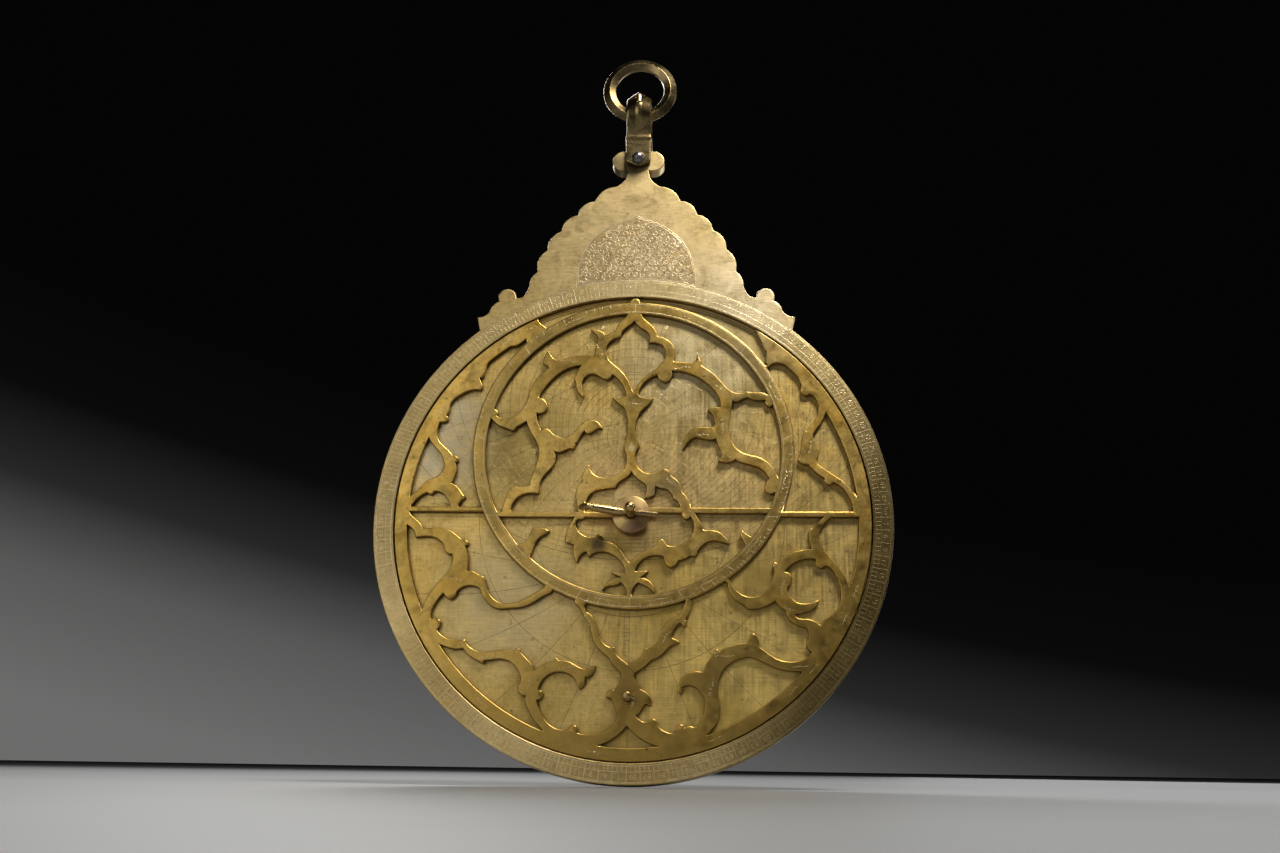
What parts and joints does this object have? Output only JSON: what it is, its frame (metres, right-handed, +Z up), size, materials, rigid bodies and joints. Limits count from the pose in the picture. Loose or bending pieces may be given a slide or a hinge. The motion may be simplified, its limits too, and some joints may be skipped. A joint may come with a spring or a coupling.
{
  "type": "astrolabe",
  "caption": "Hanging brass planispheric astrolabe: scalloped throne, leafwork rete over stacked plates, pin and horse, rear sighting rule, swivel shackle and ring.",
  "frame": {"origin": "centre of the suspension ring's eye, on the ring's mid-plane", "axes": "+Z up, from the disc to the ring; the face with the rete looks along -Y; +X to the right seen from the front"},
  "size_m": [0.18, 0.0378, 0.2771],
  "materials": {
    "brass_mater": "satin, aged olive brass",
    "brass_rete": "satin, warm aged brass",
    "brass_plates": "fine brushed, greyish brass",
    "brass_fittings": "polished by handling",
    "brass_hanger": "worn smooth",
    "rivet_steel": "dull grey"
  },
  "bodies": {
    "ring": {"suspension_ring": "brass_hanger"},
    "swivel": {"shackle": "brass_hanger", "shackle_rivet": "rivet_steel"},
    "mater": {"limb_and_throne": "brass_mater", "back_plate": "brass_mater", "climate_plate_1": "brass_plates", "climate_plate_2": "brass_plates", "climate_plate_3": "brass_plates", "climate_plate_4": "brass_plates", "climate_plate_5": "brass_plates", "climate_plate_6": "brass_plates"},
    "rete": {"rete": "brass_rete", "rete_knob": "brass_rete"},
    "alidade": {"alidade_bar": "brass_fittings", "sight_vane_upper": "brass_fittings", "sight_vane_lower": "brass_fittings", "vane_rivets": "brass_fittings"},
    "pole": {"pole_pin": "brass_fittings", "pole_washer": "brass_fittings"},
    "horse": {"horse": "brass_fittings"}
  },
  "joints": [
    {"name": "swivel_swing", "type": "hinge", "parent": "ring", "child": "swivel", "pos_m": [0, 0, -0.0119], "axis": [1, 0, 0], "range_deg": [-90, 90]},
    {"name": "throne_swing", "type": "hinge", "parent": "swivel", "child": "mater", "pos_m": [0, 0, -0.0324], "axis": [0, -1, 0], "range_deg": [-35, 35]},
    {"name": "rete_turn", "type": "hinge", "parent": "mater", "child": "rete", "pos_m": [0, 0, -0.1727], "axis": [0, -1, 0], "continuous": true},
    {"name": "alidade_turn", "type": "hinge", "parent": "mater", "child": "alidade", "pos_m": [0, 0, -0.1727], "axis": [0, -1, 0], "continuous": true},
    {"name": "pole_turn", "type": "hinge", "parent": "mater", "child": "pole", "pos_m": [0, 0, -0.1727], "axis": [0, -1, 0], "continuous": true},
    {"name": "horse_slide", "type": "slide", "parent": "pole", "child": "horse", "axis": [-0.9969, 0, 0.0785], "range_m": [0, 0.011]}
  ]
}
